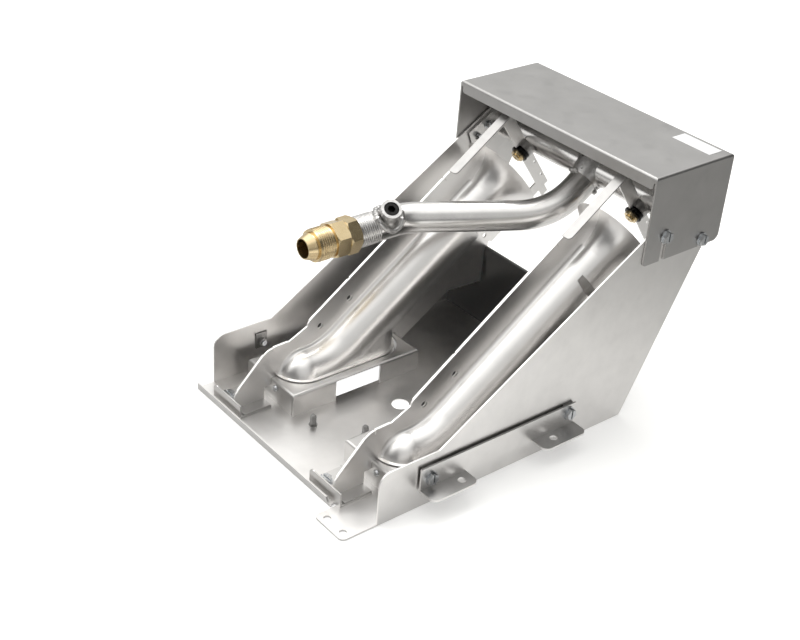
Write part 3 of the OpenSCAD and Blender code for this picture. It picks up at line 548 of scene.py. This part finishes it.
def grid_piece(name, rings, key):
    """A mesh through closed rings of points in millimetres, shut at both ends, that rides on the chassis."""
    points = [tuple(point * MM) for ring in rings for point in ring]
    wide = len(rings[0])
    faces = []
    for i in range(len(rings) - 1):
        for j in range(wide):
            k = (j + 1) % wide
            faces.append((i * wide + j, i * wide + k, (i + 1) * wide + k, (i + 1) * wide + j))
    faces.append(tuple(range(wide))[::-1])
    faces.append(tuple(range((len(rings) - 1) * wide, len(rings) * wide)))
    mesh = bpy.data.meshes.new(name)
    mesh.from_pydata(points, [], faces)
    mesh.materials.append(MATERIALS[key])
    mesh.shade_smooth()
    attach(link_object(name, mesh), "chassis")


def side_axes(direction):
    """Two directions at right angles to the first and to each other."""
    across = direction.cross(UP)
    if across.length < UPRIGHT:
        across = Vector((1, 0, 0))
    across.normalize()
    return across, direction.cross(across).normalized()


def thread_ridge(name, start, direction, length, root, height, pitch, key, steps=RIDGE_STEPS):
    """A helical ridge round a cylinder of radius root, its two ends run out to nearly nothing."""
    across, over = side_axes(direction)
    count = int(length / pitch * steps)
    rings = []
    for i in range(count + 1):
        angle = 2 * math.pi * i / steps
        run_out = min(1.0, i / steps / RIDGE_RUN_OUT, (count - i) / steps / RIDGE_RUN_OUT)
        along = pitch * RIDGE_END + (length - pitch * RIDGE_END * 2) * i / count
        spoke = math.cos(angle) * across + math.sin(angle) * over
        centre = start + direction * along
        crest = root + height * max(run_out, RIDGE_LOWEST)
        foot = root - RIDGE_SUNK
        rings.append([
            centre + spoke * foot - direction * pitch * RIDGE_FOOT,
            centre + spoke * crest - direction * pitch * RIDGE_CREST,
            centre + spoke * crest + direction * pitch * RIDGE_CREST,
            centre + spoke * foot + direction * pitch * RIDGE_FOOT,
        ])
    grid_piece(name, rings, key)


def pipe_gap(point):
    """Distance of a point from the supply pipe's axis at the inlet."""
    return math.hypot(point.x - INLET.x, point.z - INLET.z)


def boss_bead():
    """A lumpy weld bead that follows the line where the tap boss meets the pipe."""
    across, over = side_axes(BOSS_DIRECTION)
    radius = BOSS_RADIUS + BEAD_OUT
    rings = []
    for i in range(BEAD_STEPS + 1):
        angle = 2 * math.pi * (i % BEAD_STEPS) / BEAD_STEPS
        spoke = math.cos(angle) * across + math.sin(angle) * over
        foot = BOSS_BASE + spoke * radius
        reach = 0.0
        while pipe_gap(foot + BOSS_DIRECTION * reach) < PIPE_RADIUS + BEAD_CLEAR and reach < BEAD_REACH:
            reach += BEAD_TRY
        centre = foot + BOSS_DIRECTION * reach
        lump = 1 + BEAD_LUMP * noise.noise(centre * BEAD_LUMP_SCALE + Vector((BEAD_SEED, 0, 0)))
        ring = []
        for j in range(BEAD_SIDES):
            turn = 2 * math.pi * j / BEAD_SIDES
            way = math.cos(turn) * spoke + math.sin(turn) * BOSS_DIRECTION
            ring.append(centre + way * BEAD_SWELL * lump)
        rings.append(ring)
    grid_piece("tap_boss_bead", rings, "weld")


def weld_drop(name, centre, direction, size, seed):
    """One drop of weld, drawn out along a direction."""
    across, over = side_axes(direction)
    rings = []
    for i in range(DROP_ROWS + 1):
        lean = math.pi * (DROP_CAP + (1 - 2 * DROP_CAP) * i / DROP_ROWS)
        ring = []
        for j in range(DROP_SIDES):
            turn = 2 * math.pi * j / DROP_SIDES
            spoke = math.cos(turn) * across + math.sin(turn) * over
            way = math.cos(lean) * direction * DROP_LONG + math.sin(lean) * spoke
            bump = 1 + DROP_LUMP * noise.noise(way * DROP_LUMP_SCALE + Vector((seed, seed, 0)))
            ring.append(centre + way * size * bump)
        rings.append(ring)
    grid_piece(name, rings, "weld")


def manifold_drops():
    """A row of weld drops round the end of the supply pipe's leg."""
    across, over = side_axes(LEG_DIRECTION)
    foot = LEG_END + LEG_DIRECTION * DROP_BACK
    for i in range(DROPS):
        angle = math.radians(DROP_FIRST + DROP_STEP * i)
        spoke = math.cos(angle) * across + math.sin(angle) * over
        sway = DROP_SWAY * math.sin(DROP_SWAY_RATE * i)
        seat = foot + spoke * (PIPE_RADIUS + DROP_OUT) + LEG_DIRECTION * sway
        size = DROP_SIZE + DROP_SPREAD * math.sin(DROP_SPREAD_RATE * i)
        weld_drop(f"manifold_weld_drop_{i}", seat, LEG_DIRECTION.cross(spoke).normalized(), size, i)


def threads():
    for name, span, root, height, pitch, key in (
            ("flare_thread_ridge", FLARE_SPAN, FLARE_ROOT, FLARE_HEIGHT, FLARE_PITCH, "brass"),
            ("pipe_thread_ridge", PIPE_SPAN, PIPE_RADIUS, PIPE_HEIGHT, PIPE_PITCH, "sealant")):
        start = INLET + ALONG_Y * span[0]
        thread_ridge(name, start, ALONG_Y, span[1] - span[0], root, height, pitch, key)
    for name, place in STUD_PLACES.items():
        start = Vector((*place, STUD_START))
        thread_ridge(f"{name}_stud_thread", start, UP, STUD_LENGTH, STUD_ROOT, STUD_HEIGHT, STUD_PITCH,
                     "nut", STUD_STEPS)


make_camera()
make_world()
make_table()
bpy.context.scene.view_settings.view_transform = "Standard"
make_key()
MATERIALS = {name: metal(name, **finish) for name, finish in FINISHES.items()}
MATERIALS["paper"] = paper("label")
paint_parts()
threads()
boss_bead()
manifold_drops()
